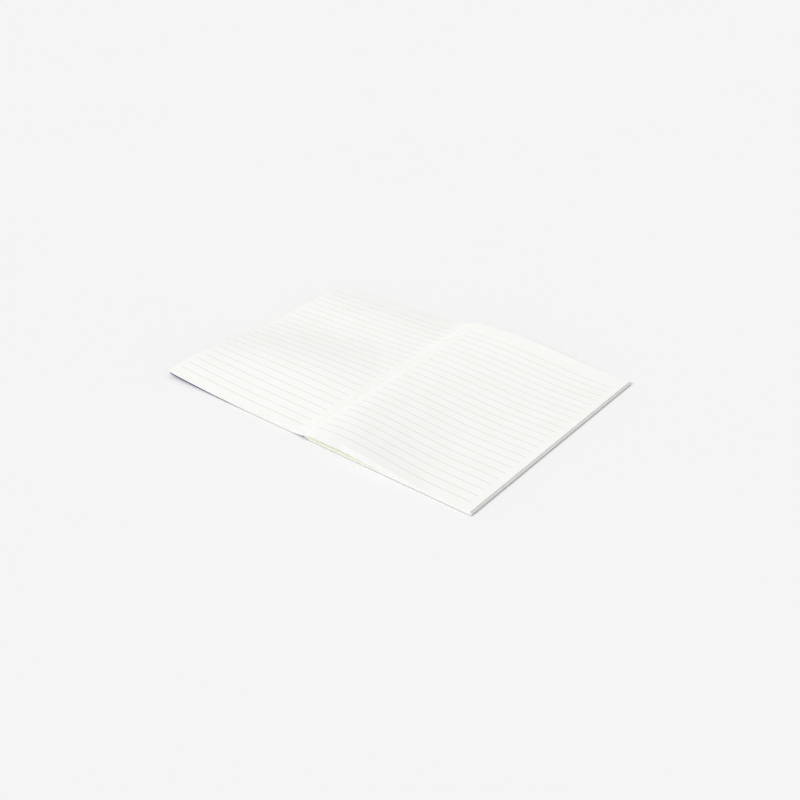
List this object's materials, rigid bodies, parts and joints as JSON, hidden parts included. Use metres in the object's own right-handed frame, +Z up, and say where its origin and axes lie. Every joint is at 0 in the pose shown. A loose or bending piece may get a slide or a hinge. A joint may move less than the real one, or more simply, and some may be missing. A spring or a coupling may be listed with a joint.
{
  "type": "open composition notebook",
  "caption": "Sewn paper notebook lying open on its covers, with ruled pages, a violet card cover that is pale lemon inside, and a fold that closes.",
  "frame": {"origin": "on the table under the middle of the fold, at the centre of the open notebook's footprint", "axes": "+X across the spread towards the right page's fore edge, +Y along the fold towards the head of the pages, +Z up from the table"},
  "size_m": [0.296, 0.21, 0.0107],
  "materials": {
    "page_paper": "uncoated off-white writing paper with printed grey rows",
    "cover_card": "thin card, violet outside and pale lemon inside, satin",
    "thread": "white twisted sewing thread"
  },
  "bodies": {
    "back_half": {"back_cover": "cover_card", "right_pages": "page_paper", "sewing_thread": "thread"},
    "front_half": {"front_cover": "cover_card", "left_pages": "page_paper"}
  },
  "joints": [
    {"name": "fold", "type": "hinge", "parent": "back_half", "child": "front_half", "pos_m": [0, 0, 0.00714], "axis": [0, 0.9997, 0.0233], "range_deg": [0, 165]}
  ]
}
